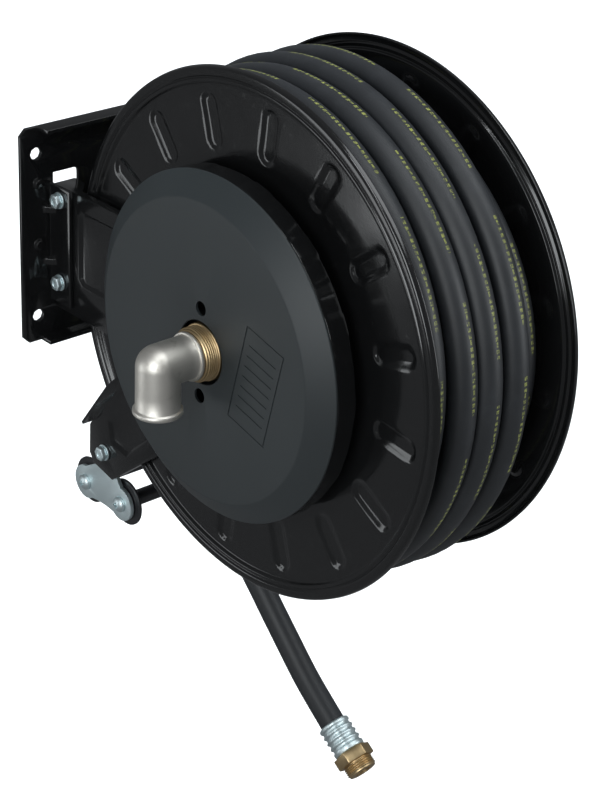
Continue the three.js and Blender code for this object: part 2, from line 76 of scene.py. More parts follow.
studio = {
    "skyStrength": 0.16, "skyColour": (0.93, 0.96, 1.0, 1.0),
    "floorDepth": 1.1, "floorColour": (0.88, 0.88, 0.88, 1.0),
    "lampColour": (0.94, 0.98, 1.0),
    # place, aim, size, watts, seen in reflections
    "lamps": [
        ("overhead", (0.5, -1.2, 1.9), (0.0, -0.3, 0.0), (1.4, 1.4), 20, True),
        ("frontRight", (1.4, -2.4, 0.5), (0.0, -0.3, 0.0), (0.7, 1.6), 26, True),
        ("leftFill", (-2.1, -1.3, 0.7), (0.0, -0.3, -0.1), (1.3, 1.5), 30, True),
        ("rearLeft", (-2.2, 1.15, -0.35), (-0.1, -0.3, -0.1), (0.9, 1.2), 8, True),
        ("rimLight", (-0.9, -1.0, 2.2), (0.0, -0.3, 0.0), (0.25, 1.2), 9, True),
        ("floorWash", (2.2, 2.6, 2.4), (2.2, 2.6, -1.1), (6.0, 6.0), 420, False),
    ],
}


def addStudio():
    world = bpy.data.worlds.new("studio")
    world.use_nodes = True
    sky = world.node_tree.nodes["Background"]
    sky.inputs["Color"].default_value = studio["skyColour"]
    sky.inputs["Strength"].default_value = studio["skyStrength"]
    bpy.context.scene.world = world
    bpy.context.scene.view_settings.view_transform = "Standard"
    for name, place, aim, size, watts, mirrored in studio["lamps"]:
        data = bpy.data.lights.new(name, "AREA")
        data.color = studio["lampColour"]
        data.shape = "RECTANGLE"
        data.size, data.size_y = size
        data.energy = watts
        lamp = bpy.data.objects.new(name, data)
        bpy.context.scene.collection.objects.link(lamp)
        lamp.location = place
        lamp.visible_glossy = mirrored
        lamp.rotation_euler = (Vector(place) - Vector(aim)).to_track_quat("Z", "Y").to_euler()


addCamera()
addStudio()
print("camera and lights set")


# ---- materials ----
class Link:                                                       # one socket, ready for arithmetic
    def __init__(self, recipe, socket):
        self.recipe, self.socket = recipe, socket

    def maths(self, operation, *terms):
        return self.recipe.node("ShaderNodeMath", {"operation": operation}, dict(enumerate(terms)))

    def __add__(self, other):
        return self.maths("ADD", self, other)

    def __sub__(self, other):
        return self.maths("SUBTRACT", self, other)

    def __rsub__(self, other):
        return self.maths("SUBTRACT", other, self)

    def __mul__(self, other):
        return self.maths("MULTIPLY", self, other)

    def __truediv__(self, other):
        return self.maths("DIVIDE", self, other)

    __radd__ = __add__
    __rmul__ = __mul__

    def under(self, edge):
        return self.maths("LESS_THAN", self, edge)

    def remainder(self, step):
        return self.maths("FLOORED_MODULO", self, step)

    def size(self):
        return self.maths("ABSOLUTE", self)

    def eased(self, low, high):                                   # 0 below low, 1 above high
        ends = {"Value": self, "From Min": low, "From Max": high}
        return self.recipe.node("ShaderNodeMapRange", {"interpolation_type": "SMOOTHSTEP"}, ends)


class Recipe:                                                     # one material
    def __init__(self, name):
        self.material = bpy.data.materials.new(name)
        self.material.use_nodes = True
        self.material.node_tree.nodes.clear()
        self.place = self.node("ShaderNodeTexCoord", output="Object")

    def node(self, kind, settings=None, inputs=None, output=0):
        made = self.material.node_tree.nodes.new(kind)
        for key, value in (settings or {}).items():
            setattr(made, key, value)
        for key, value in (inputs or {}).items():
            if isinstance(value, Link):
                self.material.node_tree.links.new(value.socket, made.inputs[key])
            else:
                made.inputs[key].default_value = value
        return Link(self, made.outputs[output]) if output is not None else made

    def noise(self, scale, detail=3.0, roughness=0.5, place=None):
        inputs = {"Vector": place or self.place, "Scale": scale, "Detail": detail, "Roughness": roughness}
        return self.node("ShaderNodeTexNoise", inputs=inputs)

    def stretched(self, scale):                                   # the place, scaled by axis
        return self.node("ShaderNodeMapping", inputs={"Vector": self.place, "Scale": scale})

    def colours(self, factor, first, second):
        inputs = {0: factor, 6: first, 7: second}
        return self.node("ShaderNodeMix", {"data_type": "RGBA"}, inputs, output=2)

    def bump(self, height, strength, distance, normal=None):
        inputs = {"Height": height, "Strength": strength, "Distance": distance}
        if normal:
            inputs["Normal"] = normal
        return self.node("ShaderNodeBump", inputs=inputs)

    def finish(self, **inputs):
        named = {key.replace("_", " "): value for key, value in inputs.items()}
        shader = self.node("ShaderNodeBsdfPrincipled", inputs=named)
        self.node("ShaderNodeOutputMaterial", inputs={"Surface": shader}, output=None)
        return self.material


def glossBlack():
    paint = Recipe("glossBlackPaint")
    mottle = paint.noise(9, 4)
    dust = paint.noise(160, 5, 0.7).eased(0.58, 0.78)
    peel = paint.noise(420, 2)
    colour = paint.colours(mottle, (0.0035, 0.0036, 0.0038, 1), (0.0070, 0.0072, 0.0075, 1))
    colour = paint.colours(dust * 0.22, colour, (0.030, 0.030, 0.029, 1))
    normal = paint.bump(paint.noise(16, 2), 0.16, 0.002, paint.bump(peel, 0.05, 0.0006))
    return paint.finish(Base_Color=colour, Roughness=0.10 + 0.09 * mottle + 0.18 * dust, Normal=normal,
                        Coat_Weight=0.25, Coat_Roughness=0.06)


def mattGrey():
    paint = Recipe("mattGreyPaint")
    grain = paint.noise(1500, 3, 0.6)
    cloud = paint.noise(7, 3)
    speck = paint.noise(900, 2).eased(0.66, 0.8)
    colour = paint.colours(cloud, (0.0150, 0.0190, 0.0205, 1), (0.0190, 0.0240, 0.0262, 1))
    colour = paint.colours(speck * 0.35, colour, (0.036, 0.041, 0.044, 1))
    normal = paint.bump(grain, 0.22, 0.0004)
    return paint.finish(Base_Color=colour, Roughness=0.46 + 0.10 * grain, Normal=normal)


def zincPlate():
    plate = Recipe("zincPlate")
    cloud = plate.noise(60, 4, 0.6)
    grain = plate.noise(900, 3)
    tarnish = plate.noise(35, 5, 0.65).eased(0.55, 0.8)
    colour = plate.colours(cloud, (0.68, 0.79, 0.81, 1), (0.80, 0.90, 0.92, 1))
    colour = plate.colours(tarnish * 0.35, colour, (0.40, 0.41, 0.36, 1))
    return plate.finish(Base_Color=colour, Metallic=1.0, Roughness=0.38 + 0.16 * grain + 0.10 * tarnish,
                        Normal=plate.bump(grain, 0.10, 0.0003))


def satinNickel():
    plate = Recipe("satinNickel")
    cast = plate.noise(700, 3, 0.6)
    cloud = plate.noise(55, 4)
    stain = plate.noise(90, 4).eased(0.60, 0.80)
    colour = plate.colours(cloud, (0.74, 0.71, 0.65, 1), (0.86, 0.83, 0.77, 1))
    colour = plate.colours(stain * 0.4, colour, (0.36, 0.32, 0.26, 1))
    return plate.finish(Base_Color=colour, Metallic=1.0, Roughness=0.40 + 0.16 * cast,
                        Normal=plate.bump(cast, 0.14, 0.0003))


def turnedBrass():
    metal = Recipe("turnedBrass")
    lines = metal.noise(260, 3, place=metal.stretched((3.0, 0.25, 0.25)))
    stain = metal.noise(80, 4).eased(0.5, 0.75)
    colour = metal.colours(lines, (0.52, 0.38, 0.20, 1), (0.66, 0.50, 0.29, 1))
    colour = metal.colours(stain * 0.35, colour, (0.27, 0.16, 0.07, 1))
    return metal.finish(Base_Color=colour, Metallic=1.0, Roughness=0.30 + 0.16 * lines + 0.1 * stain,
                        Normal=metal.bump(lines, 0.10, 0.0003))


def plainSteel():
    metal = Recipe("plainSteel")
    lines = metal.noise(320, 4, place=metal.stretched((2.5, 0.4, 0.4)))
    stain = metal.noise(45, 4).eased(0.5, 0.8)
    colour = metal.colours(lines, (0.24, 0.24, 0.25, 1), (0.36, 0.36, 0.37, 1))
    colour = metal.colours(stain * 0.4, colour, (0.14, 0.11, 0.09, 1))
    return metal.finish(Base_Color=colour, Metallic=1.0, Roughness=0.30 + 0.2 * lines + 0.1 * stain,
                        Normal=metal.bump(lines, 0.12, 0.0003))


def blackPlastic():
    plastic = Recipe("blackPlastic")
    grain = plastic.noise(700, 3)
    scuff = plastic.noise(90, 5, 0.7).eased(0.55, 0.8)
    colour = plastic.colours(scuff * 0.5, (0.010, 0.010, 0.012, 1), (0.040, 0.040, 0.044, 1))
    return plastic.finish(Base_Color=colour, Roughness=0.34 + 0.14 * grain + 0.1 * scuff,
                          Normal=plastic.bump(grain, 0.12, 0.0003))


def sealRubber():
    rubber = Recipe("sealRubber")
    grain = rubber.noise(900, 3)
    colour = rubber.colours(grain, (0.006, 0.006, 0.006, 1), (0.014, 0.014, 0.014, 1))
    normal = rubber.bump(grain, 0.2, 0.0003)
    return rubber.finish(Base_Color=colour, Roughness=0.55 + 0.2 * grain, Normal=normal)


# Black cover rubber with a worn line of plain printed dashes. The map runs along the hose in metres.
printing = {"round": 0.515, "halfHeight": 0.022, "dash": 0.0052, "group": 0.135, "groupPrinted": 0.095}


def hoseRubber():
    rubber = Recipe("hoseRubber")
    unrolled = rubber.node("ShaderNodeUVMap", {"uv_map": "along"})
    split = rubber.node("ShaderNodeSeparateXYZ", inputs={"Vector": unrolled})
    along, around = split, Link(rubber, split.socket.node.outputs["Y"])
    line = (around - printing["round"]).size().under(printing["halfHeight"])
    dash = along.remainder(printing["dash"]).under(printing["dash"] * 0.62)
    longDash = along.remainder(printing["dash"] * 4).under(printing["dash"] * 0.8)
    word = along.remainder(printing["group"]).under(printing["groupPrinted"])
    band = (around - printing["round"]).size().under(printing["halfHeight"] * 0.62)
    marks = line * dash * word * (1 - longDash) + band * longDash * word
    worn = rubber.noise(420, 4, 0.7).eased(0.34, 0.62)
    grain = rubber.noise(1300, 3, 0.6)
    cloud = rubber.noise(22, 4)
    bloom = rubber.noise(60, 5, 0.65).eased(0.5, 0.8)
    colour = rubber.colours(cloud, (0.0100, 0.0112, 0.0130, 1), (0.0155, 0.0172, 0.0200, 1))
    colour = rubber.colours(bloom * 0.4, colour, (0.026, 0.029, 0.034, 1))
    colour = rubber.colours(marks * worn * 0.8, colour, (0.24, 0.26, 0.05, 1))
    wrap = along.remainder(0.0032) / 0.0032
    cloth = (wrap - 0.5).size()
    normal = rubber.bump(cloth, 0.10, 0.0003, rubber.bump(grain, 0.18, 0.0003))
    return rubber.finish(Base_Color=colour, Roughness=0.40 + 0.12 * grain + 0.08 * cloud, Normal=normal)


def paleFloor():
    floor = Recipe("paleFloor")
    return floor.finish(Base_Color=studio["floorColour"], Roughness=0.6 + 0.1 * floor.noise(2.5, 3))


finishes = {
    "gloss_black": glossBlack(), "matt_grey": mattGrey(), "zinc": zincPlate(), "nickel": satinNickel(),
    "brass": turnedBrass(), "steel": plainSteel(), "black_plastic": blackPlastic(),
    "hose_rubber": hoseRubber(), "seal_rubber": sealRubber(),
}
slotOf = {part["node"]: part["material_slot"] for part in frame["record"]["subparts"]}
bodyOf = {node: body for body, nodes in frame["record"]["behaviour"]["bodies"].items() for node in nodes}
for nodeName, node in frame["nodes"].items():
    node.data.materials.clear()
    node.data.materials.append(finishes[slotOf[nodeName]])
print("finishes made:", len(finishes))


# ---- shared modelling steps ----
def pieceFrom(bm, name, nodes, sharpAngle=35):                    # a finished piece that stands for CAD nodes
    mesh = bpy.data.meshes.new(name)
    bm.to_mesh(mesh)
    bm.free()
    mesh.shade_smooth()
    mesh.set_sharp_from_angle(angle=math.radians(sharpAngle))
    piece = bpy.data.objects.new(name, mesh)
    bpy.context.scene.collection.objects.link(piece)
    mesh.materials.append(finishes[slotOf[nodes[0]]])
    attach(piece, bodyOf[nodes[0]])
    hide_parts(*nodes)
    return piece


def plainName(node):                                              # drum_core becomes drumCore
    first, *rest = node.split("_")
    return first + "".join(word.capitalize() for word in rest)


def middleOf(low, high):                                          # a box's middle, on the middle plane across
    return Vector((0, (low.y + high.y) / 2, (low.z + high.z) / 2))


def looseTool(bm, name):                                          # a cutter, removed once it has cut
    mesh = bpy.data.meshes.new(name)
    bm.to_mesh(mesh)
    bm.free()
    tool = bpy.data.objects.new(name, mesh)
    bpy.context.scene.collection.objects.link(tool)
    return tool


def carved(bm, cutters):                                          # the shape with each cutter taken away
    body = looseTool(bm, "blank")
    tools = [looseTool(cutter, "cutter") for cutter in cutters]
    for tool in tools:
        modifier = body.modifiers.new("carve", "BOOLEAN")
        modifier.operation = "DIFFERENCE"
        modifier.solver = "EXACT"
        modifier.object = tool
    shaped = body.evaluated_get(bpy.context.evaluated_depsgraph_get())
    result = bmesh.new()
    result.from_mesh(shaped.to_mesh())
    for item in [body, *tools]:
        bpy.data.meshes.remove(item.data)
    return result


def rounded(corners, radius, steps=3):                            # a third value is a corner's own radius
    points = []
    count = len(corners)
    for i, corner in enumerate(corners):
        here = Vector(corner[:2])
        before = Vector(corners[i - 1][:2])
        after = Vector(corners[(i + 1) % count][:2])
        size = corner[2] if len(corner) > 2 else radius
        inward, outward = (before - here), (after - here)
        if size <= 0 or inward.length < 1e-9 or outward.length < 1e-9:
            points.append(here)
            continue
        half = inward.angle(outward) / 2
        setback = min(size / math.tan(half), inward.length * 0.45, outward.length * 0.45)
        start, end = here + inward.normalized() * setback, here + outward.normalized() * setback
        for k in range(steps + 1):
            t = k / steps
            points.append(start * (1 - t) ** 2 + here * 2 * t * (1 - t) + end * t ** 2)
    return [(point.x, point.y) for point in points]


def spun(profile, steps, closed=True):                            # profile of (radius, x), in millimetres
    bm = bmesh.new()
    verts = [bm.verts.new((x * millimetre, 0, radius * millimetre)) for radius, x in profile]
    edges = [bm.edges.new(pair) for pair in zip(verts, verts[1:])]
    if closed:
        edges.append(bm.edges.new((verts[-1], verts[0])))
    bmesh.ops.spin(bm, geom=verts + edges, cent=(0, 0, 0), axis=(1, 0, 0), angle=2 * math.pi, steps=steps,
                   use_merge=True)
    bmesh.ops.remove_doubles(bm, verts=bm.verts, dist=2e-6)
    bmesh.ops.recalc_face_normals(bm, faces=bm.faces)
    return bm


def moved(bm, place, turn=None):
    matrix = Matrix.Translation(place) @ (turn.to_matrix().to_4x4() if turn else Matrix.Identity(4))
    bmesh.ops.transform(bm, matrix=matrix, verts=bm.verts)
    return bm


def block(size, centre, turn=None):
    bm = bmesh.new()
    bmesh.ops.create_cube(bm, size=1.0)
    bmesh.ops.scale(bm, vec=size, verts=bm.verts)
    return moved(bm, centre, turn)


def rod(radius, start, end, sides=24):                            # round bar between two points
    bm = bmesh.new()
    start, end = Vector(start), Vector(end)
    bmesh.ops.create_cone(bm, cap_ends=True, segments=sides, radius1=radius, radius2=radius,
                          depth=(end - start).length)
    return moved(bm, (start + end) / 2, (end - start).to_track_quat("Z", "Y"))


def addTo(bm, other):                                             # two shapes in one mesh
    mesh = bpy.data.meshes.new("joined")
    other.to_mesh(mesh)
    other.free()
    bm.from_mesh(mesh)
    bpy.data.meshes.remove(mesh)
    return bm


def grownRing(bm, ring):                                          # the ring drawn out into a new one
    edges = {edge for vert in ring for edge in vert.link_edges if edge.other_vert(vert) in ring}
    grown = bmesh.ops.extrude_edge_only(bm, edges=list(edges))["geom"]
    return [item for item in grown if isinstance(item, bmesh.types.BMVert)]


# Rings drawn out along a route. A station is (centre, heading, radius), and the side mark stops twisting.
def drawnOut(stations, sides, sideMark):
    bm = bmesh.new()
    run = bm.verts.layers.float.new("run")
    spoke = bm.verts.layers.float.new("spoke")
    made = bmesh.ops.create_circle(bm, segments=sides, radius=1.0)
    ring = made["verts"]
    for i, vert in enumerate(ring):
        vert[spoke] = (math.atan2(vert.co.y, vert.co.x) / (2 * math.pi) + 1.75) % 1.0
    first = list(ring)
    previous = Matrix.Identity(4)
    reached = 0.0
    lastCentre = stations[0][0]
    for i, (centre, heading, radius) in enumerate(stations):
        if i > 0:
            ring = grownRing(bm, ring)
        side = (sideMark - heading * sideMark.dot(heading)).normalized()
        turn = Matrix((side, heading.cross(side), heading)).transposed().to_4x4()
        target = Matrix.Translation(centre) @ turn @ Matrix.Diagonal((radius, radius, 1, 1))
        bmesh.ops.transform(bm, matrix=target @ previous.inverted(), verts=ring)
        previous = target
        reached += (centre - lastCentre).length
        lastCentre = centre
        for vert in ring:
            vert[run] = reached
    for loop in (first, ring):
        edges = {edge for vert in loop for edge in vert.link_edges if edge.other_vert(vert) in loop}
        bmesh.ops.contextual_create(bm, geom=list(edges))
    bmesh.ops.recalc_face_normals(bm, faces=bm.faces)
    mapped = bm.loops.layers.uv.new("along")
    for face in bm.faces:
        turns = [loop.vert[spoke] for loop in face.loops]
        for loop in face.loops:
            across = loop.vert[spoke]
            if len(face.verts) == 4 and max(turns) - across > 0.5:
                across += 1.0
            loop[mapped].uv = (loop.vert[run], across)
    return bm


softening = {"sharpAngle": 25, "flatAngle": 0.6}                  # degrees


def softened(name, width, segments=2):                            # a CAD shape with its edges rounded
    bm = bmesh.new()
    bm.from_mesh(frame["nodes"][name].data)
    bmesh.ops.remove_doubles(bm, verts=bm.verts, dist=1e-6)
    flat = math.radians(softening["flatAngle"])
    bmesh.ops.dissolve_limit(bm, angle_limit=flat, verts=bm.verts, edges=bm.edges)
    limit = math.radians(softening["sharpAngle"])
    sharp = [edge for edge in bm.edges if len(edge.link_faces) == 2 and edge.calc_face_angle(0) > limit]
    bmesh.ops.bevel(bm, geom=sharp, offset=width * millimetre, offset_type="OFFSET", segments=segments,
                    profile=0.5, affect="EDGES", clamp_overlap=True, material=-1)
    bmesh.ops.remove_doubles(bm, verts=bm.verts, dist=2e-6)
    return pieceFrom(bm, plainName(name), [name])


# ---- hose: all that is wound on the drum, then the stretch that hangs from it ----
hose = {
    "diameter": 27, "sides": 18, "ringsPerTurn": 96, "startAngle": 90, "endAngle": -6.8,
    # whole turns from the start, place along the drum, radius of the turn
    "lay": [(-1.0, -64, 184), (0.0, -64, 184), (4.5, 63.4, 184), (4.65, 63.8, 198), (4.8, 57.7, 208),
            (5.1, 38, 207), (8.5, -60, 207), (8.75, -64, 217), (9.0, -58, 228), (10.0, -29, 228),
            (11.0, -4, 233.4), (12.0, 29.5, 233.4), (12.21, 58, 233.4), (13.5, 58, 233.4)],
    "tail": [(58, 231.8, -27.6), (58, 225.2, -83), (58, 218.5, -140), (58, 205.5, -248), (59, 193, -302),
             (60, 166, -350), (61, 126, -393), (62, 93, -427), (62, 57.5, -460), (62, 15.8, -491.5)],
    "tailHeading": (0, -0.833, -0.553),
}


def fromAxis(x, y, z):                                            # millimetres from the drum axis
    return drumAxis + Vector((x, y, z)) * millimetre


def layAt(turn):
    keys = hose["lay"]
    for (t0, x0, r0), (t1, x1, r1) in zip(keys, keys[1:]):
        if turn <= t1:
            part = (turn - t0) / (t1 - t0)
            return Vector((x0 + (x1 - x0) * part, r0 + (r1 - r0) * part))
    return Vector(keys[-1][1:])


def woundRoute():
    wholeTurns = 12 + (hose["startAngle"] - hose["endAngle"]) / 360
    count = int(wholeTurns * hose["ringsPerTurn"])
    route = []
    for i in range(count + 1):
        turn = wholeTurns * i / count
        near = [layAt(turn + step) for step in (-0.05, -0.025, 0, 0.025, 0.05)]
        x, radius = sum(near, Vector((0, 0))) / len(near)
        angle = math.radians(hose["startAngle"] - 360 * turn)
        route.append(fromAxis(x, radius * math.cos(angle), radius * math.sin(angle)))
    return route


def smoothRoute(points, steps):                                   # a curve through the points
    ends = [points[0] * 2 - points[1], *points, points[-1] * 2 - points[-2]]
    route = []
    for a, b, c, d in zip(ends, ends[1:], ends[2:], ends[3:]):
        for k in range(steps):
            t = k / steps
            route.append(0.5 * (2 * b + (c - a) * t + (2 * a - 5 * b + 4 * c - d) * t ** 2
                                + (3 * b - a - 3 * c + d) * t ** 3))
    return route + [points[-1]]


def lengthOf(route):
    return sum((b - a).length for a, b in zip(route, route[1:]))


def hoseAlong(route, name, node):
    headings = [(after - before).normalized() for before, after in zip(route, route[2:])]
    headings = [(route[1] - route[0]).normalized(), *headings, (route[-1] - route[-2]).normalized()]
    radius = hose["diameter"] / 2 * millimetre
    stations = [(centre, heading, radius) for centre, heading in zip(route, headings)]
    return pieceFrom(drawnOut(stations, hose["sides"], Vector((1, 0, 0))), name, [node])


woundPath = woundRoute()
tailPath = smoothRoute([fromAxis(*point) for point in hose["tail"]], 5)
hoseWound = hoseAlong(woundPath, "hoseWound", "hose_winding")
hoseTail = hoseAlong(tailPath, "hoseTail", "hose_tail")
print("hose drawn:", round(lengthOf(woundPath), 2), "m wound and", round(lengthOf(tailPath), 3), "m hanging")


# ---- crimped ferrule and threaded outlet at the hose's end ----
outlet = {
    "ferrule": 34.5, "ferruleRadius": 17.2, "crimps": 4, "crimpDepth": 1.7, "gap": 0.8,
    "hexRadius": 21, "hexLength": 12, "threadRadius": 16.5, "threadLength": 12, "pitch": 2.3, "bore": 8.7,
}
alongTail = Vector(hose["tailHeading"]).normalized()
tailTurn = Vector((1, 0, 0)).rotation_difference(alongTail)


def addFerrule():
    start, end = outlet["gap"], outlet["gap"] + outlet["ferrule"]
    radius = outlet["ferruleRadius"]
    profile = [(9, start), (radius - 2.2, start), (radius - 0.6, start + 0.8), (radius, start + 2)]
    step = (outlet["ferrule"] - 8) / outlet["crimps"]
    for i in range(outlet["crimps"]):
        left = start + 4 + i * step
        profile += [(radius, left), (radius - outlet["crimpDepth"], left + 0.25 * step),
                    (radius - outlet["crimpDepth"], left + 0.55 * step), (radius, left + 0.8 * step)]
    profile += [(radius, end - 3), (radius - 0.4, end - 1), (radius - 1.4, end), (9, end)]
    bm = spun(rounded(profile, 0.4, 2), 64)
    for vert in bm.verts:                                          # the crimping jaws leave eight soft flats
        around = math.atan2(vert.co.z, vert.co.y)
        if math.hypot(vert.co.y, vert.co.z) > 0.012:
            vert.co.yz *= 1 - 0.022 * (0.5 + 0.5 * math.cos(8 * around))
    return pieceFrom(moved(bm, tailPath[-1], tailTurn), "ferruleCrimped", ["ferrule"], 40)


def hexNut(radius, start, end, chamfer):                          # six-sided bar along X, edges broken
    bm = bmesh.new()
    bmesh.ops.create_cone(bm, cap_ends=True, segments=6, radius1=radius, radius2=radius, depth=end - start)
    bmesh.ops.bevel(bm, geom=bm.edges[:], offset=chamfer, segments=2, profile=0.5, affect="EDGES",
                    material=-1)
    return moved(bm, ((start + end) / 2, 0, 0), Matrix.Rotation(math.pi / 2, 3, "Y").to_quaternion())


def addOutlet():
    start = outlet["gap"] + outlet["ferrule"] + 0.3
    hexEnd = start + outlet["hexLength"]
    threadEnd = hexEnd + outlet["threadLength"]
    radius = outlet["threadRadius"]
    profile = [(outlet["bore"], hexEnd - 2), (radius - 2.2, hexEnd - 2), (radius - 2.2, hexEnd + 1)]
    count = int((outlet["threadLength"] - 2) / outlet["pitch"])
    for i in range(count):
        left = hexEnd + 1.2 + i * outlet["pitch"]
        profile += [(radius - 1.3, left), (radius, left + 0.4 * outlet["pitch"]),
                    (radius, left + 0.55 * outlet["pitch"]), (radius - 1.3, left + 0.95 * outlet["pitch"])]
    profile += [(radius - 1.4, threadEnd - 0.4), (radius - 2.2, threadEnd), (outlet["bore"], threadEnd)]
    thread = spun(profile, 64)
    hexBar = hexNut(outlet["hexRadius"] * millimetre, start * millimetre, hexEnd * millimetre, 0.0009)
    boreFrom, boreTo = (start - 3) * millimetre, (hexEnd + 3) * millimetre
    bore = rod(outlet["bore"] * millimetre, (boreFrom, 0, 0), (boreTo, 0, 0), 40)
    bm = addTo(carved(hexBar, [bore]), thread)
    return pieceFrom(moved(bm, tailPath[-1], tailTurn), "outletFitting", ["outlet_fitting"])


ferrule = addFerrule()
outletFitting = addOutlet()
lengthOf(woundPath)
lengthOf(tailPath)
print("ferrule and outlet made")


# ---- drum flanges: flat disc with pressed slots and a rolled rim ----
flange = {
    "bore": 24, "face": 83.5, "sheet": 2, "slots": 16, "slotPhase": 6.5, "slotFrom": 174, "slotTo": 224,
    "slotWidth": 18, "slotDepth": 2.2, "slotWall": 3.4, "steps": 480,
}


def slotDepthAt(radius, angle):                                   # how far the sheet is pressed in at a place
    pitch = 2 * math.pi / flange["slots"]
    offset = (angle - math.radians(flange["slotPhase"]) + pitch / 2) % pitch - pitch / 2
    along, across = radius * math.cos(offset), radius * math.sin(offset)
    half = flange["slotWidth"] / 2
    nearest = min(max(along, flange["slotFrom"] + half), flange["slotTo"] - half)
    outside = math.hypot(along - nearest, across) - half
    part = min(max((flange["slotWall"] / 2 - outside) / flange["slotWall"], 0), 1)
    return flange["slotDepth"] * part * part * (3 - 2 * part)


def addFlange(side, name):
    face, inner = flange["face"], flange["face"] - flange["sheet"]
    slotRadii = [flange["slotFrom"] - 4 + 1.6 * i for i in range(37)]
    outerFace = [(flange["bore"], face), (90, face), (160, face)] + [(radius, face) for radius in slotRadii]
    innerFace = [(radius, inner) for radius, _ in reversed(outerFace)]
    rim = rounded([(230.5, face, 0), (233, face, 1.6), (235, 86.6, 1.4), (237.6, 86.6, 1.2),
                   (239, 85.2, 1.2), (241, 87.4, 2.4), (248.6, 87.4, 3.2), (250, 81.6, 1.2),
                   (247.6, 81.4, 0.8), (246.4, 85.2, 2.0), (241.6, 85.2, 1.0), (239.6, 83.2, 1.0),
                   (237, 84.4, 1.0), (235.8, 84.4, 1.0), (234.4, inner, 1.2), (230.5, inner, 0)], 1.0)
    bm = spun([(r, side * x) for r, x in outerFace + rim + innerFace], flange["steps"])
    for vert in bm.verts:
        radius = math.hypot(vert.co.y, vert.co.z) / millimetre
        if 168 < radius < 230.4:
            vert.co.x -= side * millimetre * slotDepthAt(radius, math.atan2(vert.co.z, vert.co.y))
    return pieceFrom(moved(bm, drumAxis), name, ["drum_flange_" + ("far" if side > 0 else "near")], 50)


addFlange(-1, "drumFlangeNear")
addFlange(1, "drumFlangeFar")
print("drum flanges pressed")


# ---- housings and their conical covers ----
cover = {
    "face": 137, "flat": 142.4, "edge": 165, "edgeAt": 119.8, "sheet": 2.4, "hole": 30.2,
    "smallHoles": (-43, 43), "smallRadius": 7, "steps": 180,
    "badgeCentre": (-77, -4), "badgeSize": (50, 98), "badgeTurn": 14, "groove": 0.9, "grooveDepth": 0.7,
}


def coverShell(side, hole):
    sheet = cover["sheet"]
    lip = cover["edge"] - 2.3
    start = [(hole, cover["face"], 0.8)] if hole else [(0, cover["face"], 0)]
    end = [(hole, cover["face"] - sheet, 0.3)] if hole else [(0, cover["face"] - sheet, 0)]
    corners = start + [
        (cover["flat"], cover["face"], 5), (cover["edge"] - 0.3, cover["edgeAt"] + 1.6, 1.6),
        (cover["edge"] - 0.3, cover["edgeAt"], 0.4), (lip, cover["edgeAt"], 0.2), (lip, 111.8, 0.6),
        (lip - sheet, 111.8, 0.6), (lip - sheet, cover["edgeAt"], 0.6),
        (cover["flat"] - 1.2, cover["face"] - sheet, 1.5)] + end
    profile = rounded(corners, 0.5, 5)
    if not hole:
        profile = [point for point in profile if point[0] > 1e-6]
        profile = [(0, cover["face"]), *profile, (0, cover["face"] - sheet)]
    return spun([(r, side * x) for r, x in profile], cover["steps"], closed=bool(hole))


def badgeCutters(side):                                           # a plain framed panel of parallel grooves
    width, height = cover["badgeSize"]
    y0, z0 = cover["badgeCentre"]
    turn = Matrix.Rotation(math.radians(cover["badgeTurn"]), 3, "X").to_quaternion()
    bars = [((width, cover["groove"]), (0, s * height / 2)) for s in (-1, 1)]
    bars += [((cover["groove"], height), (s * width / 2, 0)) for s in (-1, 1)]
    bars += [((width - 14, cover["groove"]), (0, (i - 3) * 11)) for i in range(7)]
    cutters = []
    for (wide, high), (y, z) in bars:
        offset = turn @ Vector((0, y, z))
        centre = Vector((side * cover["face"], y0, z0)) + offset
        size = Vector((2 * cover["grooveDepth"], wide + cover["groove"], high + 0.0)) * millimetre
        cutters.append(block(size, centre * millimetre, turn))
    return cutters


def addCovers():
    shell = coverShell(-1, cover["hole"])
    deep = cover["face"] * millimetre
    holes = [rod(cover["smallRadius"] * millimetre, (-deep + 0.01, 0, z * millimetre),
                 (-deep - 0.01, 0, z * millimetre), 32) for z in cover["smallHoles"]]
    near = carved(shell, holes + badgeCutters(-1))
    pieceFrom(moved(near, drumAxis), "coverNear", ["cover_near"], 30)
    pieceFrom(moved(coverShell(1, 0), drumAxis), "coverFar", ["cover_far"], 30)


housing = {"radius": 165, "depth": 21.4, "back": 98.1, "sheet": 2, "hole": 31.3, "pads": 14, "padHalf": 3.6,
           "padRise": 0.9, "steps": 336}


def addHousing(side, name):
    back, rim = housing["back"], housing["back"] + housing["depth"]
    inner = housing["radius"] - housing["sheet"]
    radius = housing["radius"] - housing["padRise"]
    corners = [(housing["hole"], back, 0.4), (radius, back, 4.0), (radius, back + 5, 0.3),
               (radius, rim - 4, 0.3), (radius, rim, 0.6), (inner - 0.9, rim, 0.6),
               (inner - 0.9, back + 2, 2.2), (housing["hole"], back + 2, 0.4)]
    bm = spun([(r, side * x) for r, x in rounded(corners, 0.5, 3)], housing["steps"])
    pitch = 2 * math.pi / housing["pads"]
    for vert in bm.verts:                                          # raised pads round the edge
        across = math.hypot(vert.co.y, vert.co.z)
        offset = (math.atan2(vert.co.z, vert.co.y) + pitch / 2) % pitch - pitch / 2
        if across > (radius - 0.6) * millimetre and abs(offset) < math.radians(housing["padHalf"]):
            vert.co.yz *= housing["radius"] / radius
    return pieceFrom(moved(bm, drumAxis), name, ["housing_" + ("far" if side > 0 else "near")], 35)


addCovers()
addHousing(-1, "housingNear")
addHousing(1, "housingFar")
print("covers and housings made")


